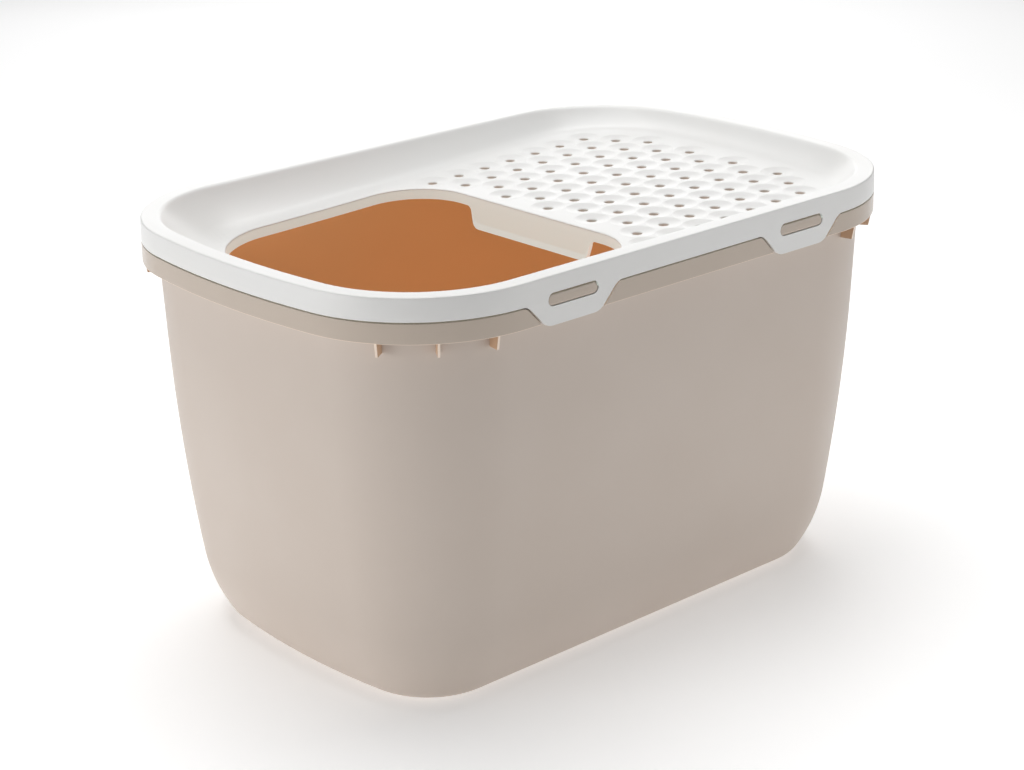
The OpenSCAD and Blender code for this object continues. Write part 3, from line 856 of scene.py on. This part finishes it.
def cut_grid(bm, faces):
    """Cuts faces along a grid, so that they have enough points to follow the curve of the dish."""
    for axis, (start, stop) in enumerate((GRID_X, GRID_Y)):
        at = start
        while at < stop:
            plane_co, plane_no = [0, 0, 0], [0, 0, 0]
            plane_co[axis], plane_no[axis] = at, 1
            geom = list({g for f in faces for g in list(f.verts) + list(f.edges)} | set(faces))
            cut = bmesh.ops.bisect_plane(bm, geom=geom, dist=0.05, plane_co=plane_co,
                                         plane_no=plane_no)
            faces = only(bmesh.types.BMFace, cut["geom"])
            at += GRID_PITCH


def flat_dish(bm):
    """The dish in plan: rings inside the rim, a disc at each hole, the entry opening's edge, and
    triangles between them."""
    outer = rim_ring(bm, LID_COLUMNS, RIM_FLAT, 0)
    inner = sweep(bm, outer, RIM_FLAT, [(p, 0) for p in SIDE_RINGS])
    inner_keys = {plan_key(e) for e in inner}
    disc = dimple_disc()
    for x, y in HOLES:
        bmesh.ops.translate(disc, vec=(x, y, 0), verts=disc.verts)
        copy_in(bm, disc)
        bmesh.ops.translate(disc, vec=(-x, -y, 0), verts=disc.verts)
    disc.free()
    opening = bmesh.new()
    entry_loop(opening)
    copy_in(bm, opening)
    opening.free()

    bounds = [e for e in bm.edges if e.is_wire]
    bounds += [e for e in bm.edges if e.is_boundary and (
        plan_key(e) in inner_keys or abs(from_hole(e.verts[0]) - DISC_R) < 0.02)]
    filled = bmesh.ops.triangle_fill(bm, use_beauty=True, use_dissolve=False, edges=bounds,
                                     normal=UP)["geom"]
    cut_grid(bm, only(bmesh.types.BMFace, filled))


def roll_entry_edge(bm):
    """Rolls the opening's edge down into the flange, with the apron and its small lip."""
    ring = [e for e in bm.edges if e.is_boundary and all(
        setback(v.co.x, v.co.y) > 40 and v.co.x < ENTRY_EDGE_X + ROLL_R + 0.1
        and from_hole(v) > DISC_R + 0.05 for v in e.verts)]
    out = ROLL_R
    for i in range(1, ROLL_STEPS + 1):
        a = pi / 2 * i / ROLL_STEPS
        ring = grow(bm, ring)
        next_out = ROLL_R * (1 - sin(a))
        for v in corners(ring):
            v.co += from_entry(v.co) * (next_out - out)
            v.co.z = dish_height(v.co.x, v.co.y) - ROLL_R * (1 - cos(a))
        out = next_out
    before = set(bm.faces)
    for share, flare in FLANGE_RINGS:
        ring = grow(bm, ring)
        for v in corners(ring):
            fall = apron_fall(v.co.y) if v.co.x > 0 else 0
            v.co -= from_entry(v.co) * flare * APRON_LIP * fall / APRON_DROP
            v.co.z = dish_height(v.co.x, v.co.y) - ROLL_R - (FLANGE_H + fall - ROLL_R) * share
    # The flange and the apron get the darker white with a painted glow that stands in for light
    # coming through
    for face in set(bm.faces) - before:
        face.material_index = FLANGE


def rim_and_skirt(bm):
    """Carries the rim over its rounded edge and down the skirt to its lower edge."""
    ring = [e for e in bm.edges if e.is_boundary and all(
        abs(setback(v.co.x, v.co.y) - RIM_FLAT) < 0.02 for v in e.verts)]
    top_p = SKIRT_DRAFT + RIM_EDGE_R
    turns = [pi / 2 * i / RIM_STEPS for i in range(RIM_STEPS + 1)]
    profile = [(p, BODY_H) for p in RIM_RINGS]
    profile += [(top_p - RIM_EDGE_R * sin(a), BODY_H - RIM_EDGE_R * (1 - cos(a))) for a in turns]
    for z in SKIRT_RINGS:
        height = (z - SKIRT_Z) / (BODY_H - RIM_EDGE_R - SKIRT_Z)
        profile.append((SKIRT_DRAFT * height ** SKIRT_CURVE, z))
    ring = sweep(bm, ring, RIM_FLAT, profile)
    for above, p in SKIRT_FOOT:
        ring = grow(bm, ring)
        for v in corners(ring):
            low, rounding = skirt_edge(v.co)
            v.co.z = low + above
            v.co += outward(v.co) * (setback(v.co.x, v.co.y) - p * rounding)


def lid_skin():
    """Top skin of the lid: first flat in plan, then lifted to its height, then rolled down at its
    edges."""
    bm = bmesh.new()
    depth = bm.verts.layers.float.new("depth")
    flat_dish(bm)
    for v in bm.verts:
        v.co.z = dish_height(v.co.x, v.co.y) + v[depth]
    roll_entry_edge(bm)
    rim_and_skirt(bm)
    bmesh.ops.recalc_face_normals(bm, faces=bm.faces)
    top = max(bm.faces, key=lambda f: f.calc_center_median().z)
    if top.normal.z < 0:
        bmesh.ops.reverse_faces(bm, faces=bm.faces)
    return bm


def make_lid():
    """The lid: its skin with the wall's thickness below it."""
    finish_piece("lid_moulding", lid_skin(), LID_PLASTICS, "lid", "lid", wall=LID_WALL,
                 slot="lid_plastic")


# ---- Latches ----


def make_latch(name, side_x, side_y):
    """Tab with S-shaped flanks and the lower half of the window, flush with the skirt above it."""
    bm = bmesh.new()
    right = latch_half()
    window = [(WINDOW_L / 2, 0.0)] + [
        (WINDOW_L / 2 - WINDOW_R * (1 - cos(a)), -WINDOW_R * sin(a)) for a in WINDOW_TURNS[1:]]
    outline = both_halves(right + window)
    outline = [(x, z + SKIRT_Z) for x, z in outline]
    plate(bm, outline, -HALF_W, -HALF_W + LID_WALL)
    edges = [e for e in bm.edges if all(abs(v.co.y + HALF_W) < 0.01 for v in e.verts)
             and not all(abs(v.co.z - SKIRT_Z) < 0.01 for v in e.verts)]
    bmesh.ops.bevel(bm, geom=edges, offset=LATCH_EDGE_R, affect="EDGES", segments=2, profile=0.5,
                    material=-1)
    bmesh.ops.translate(bm, vec=(LATCH_X, 0, 0), verts=bm.verts)
    bmesh.ops.scale(bm, vec=(side_x, side_y, 1), verts=bm.verts)
    bmesh.ops.recalc_face_normals(bm, faces=bm.faces)
    finish_piece(name + "_moulding", bm, [LID_WHITE], name, name, slot="lid_plastic")


photo_camera()
studio()
make_tub()
make_lid()
make_latch("latch_front_left", -1, 1)
make_latch("latch_front_right", 1, 1)
make_latch("latch_rear_left", -1, -1)
make_latch("latch_rear_right", 1, -1)
